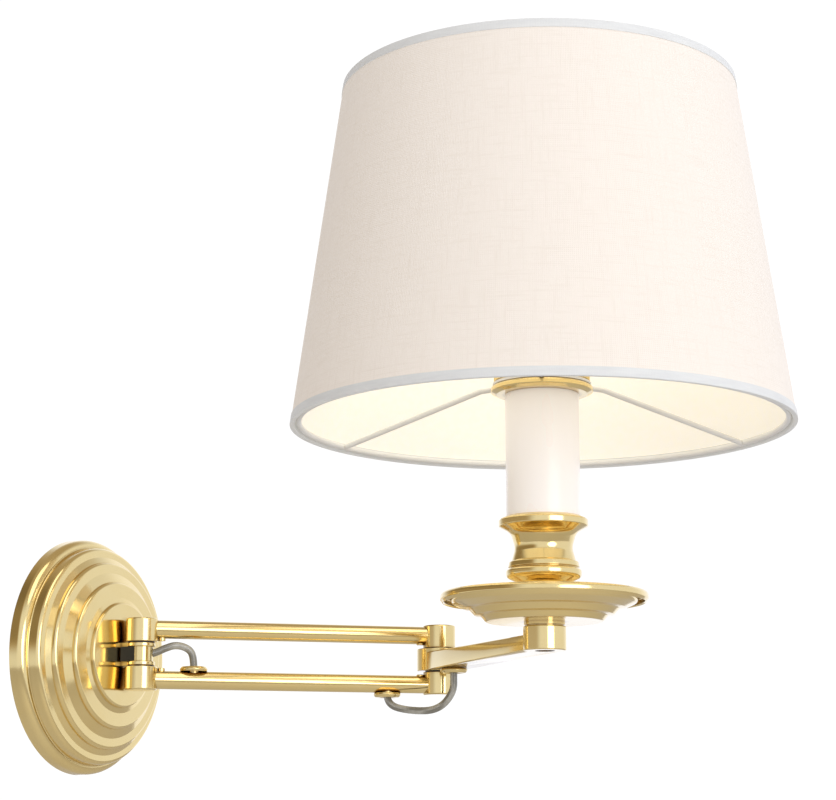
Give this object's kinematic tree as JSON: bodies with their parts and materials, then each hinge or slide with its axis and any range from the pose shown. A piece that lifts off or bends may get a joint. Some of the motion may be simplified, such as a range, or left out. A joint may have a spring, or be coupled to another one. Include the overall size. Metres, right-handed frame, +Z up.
{
  "type": "swing arm wall sconce",
  "caption": "Brass wall light on a two-hinge swing arm, with a stepped round wall plate, a candle tube on a drip pan and a tapered drum shade.",
  "frame": {"origin": "centre of the wall plate's back, on the wall", "axes": "+Z up, +Y into the wall, so the lamp stands out towards -Y"},
  "size_m": [0.2539, 0.3967, 0.3478],
  "materials": {
    "brass": "polished and lacquered",
    "steel": "zinc plated",
    "block_plastic": "moulded",
    "black_plastic": "moulded",
    "cord": "translucent grey PVC sheath",
    "ivory": "gloss",
    "holder_plastic": "moulded",
    "nickel": "satin",
    "opal_glass": "opal white",
    "linen": "plain weave",
    "lining": "matte laminate",
    "tape": "woven tape",
    "white_wire": "white powder coat"
  },
  "bodies": {
    "wall_side": {"wall_plate": "brass", "mounting_bracket": "steel", "plate_grub_screws": "steel", "terminal_block": "block_plastic", "terminal_screws": "steel", "earth_screw": "steel", "stem_washer": "steel", "stem_nut": "steel", "wall_knuckle": "brass", "cable_block": "black_plastic", "wall_pivot_studs": "steel"},
    "inner_arm": {"upper_tube": "brass", "lower_tube": "brass", "wall_upper_barrel": "brass", "wall_lower_barrel": "brass", "elbow_upper_barrel": "brass", "elbow_lower_barrel": "brass", "tube_stop_pins": "brass", "tube_top_eyelet": "brass", "tube_bottom_eyelet": "brass", "wall_hinge_washers": "black_plastic", "elbow_hinge_washers": "black_plastic", "elbow_pivot_pin": "steel", "wall_cord": "cord", "elbow_cord": "cord"},
    "outer_arm": {"outer_arm_bar": "brass", "arm_eyelet": "brass", "collar": "brass", "threaded_nipple": "steel", "pan_nut": "steel", "cup_nut": "steel", "drip_pan": "brass", "candle_cup": "brass", "candle_sleeve": "ivory", "holder_base": "holder_plastic", "holder_skirt": "holder_plastic", "screw_shell": "brass", "centre_contact": "brass", "holder_leads": "cord", "ring_flange": "brass", "ring_nut": "brass", "bulb_cap": "nickel", "bulb_contact": "nickel", "bulb_glass": "opal_glass", "shade_fabric": "linen", "shade_lining": "lining", "bottom_tape": "tape", "top_tape": "tape", "bottom_hoop": "white_wire", "top_hoop": "white_wire", "carrier_ring": "white_wire", "carrier_arm_1": "white_wire", "carrier_arm_2": "white_wire", "carrier_arm_3": "white_wire"}
  },
  "joints": [
    {"name": "wall_swing", "type": "hinge", "parent": "wall_side", "child": "inner_arm", "pos_m": [0, -0.039, 0], "axis": [0, 0, 1], "range_deg": [-116.6, 33.4], "deforming": ["wall_cord"]},
    {"name": "elbow_swing", "type": "hinge", "parent": "inner_arm", "child": "outer_arm", "pos_m": [0.10988, -0.16276, 0], "axis": [0, 0, 1], "range_deg": [-35.9, 204.1], "deforming": ["elbow_cord"]}
  ]
}
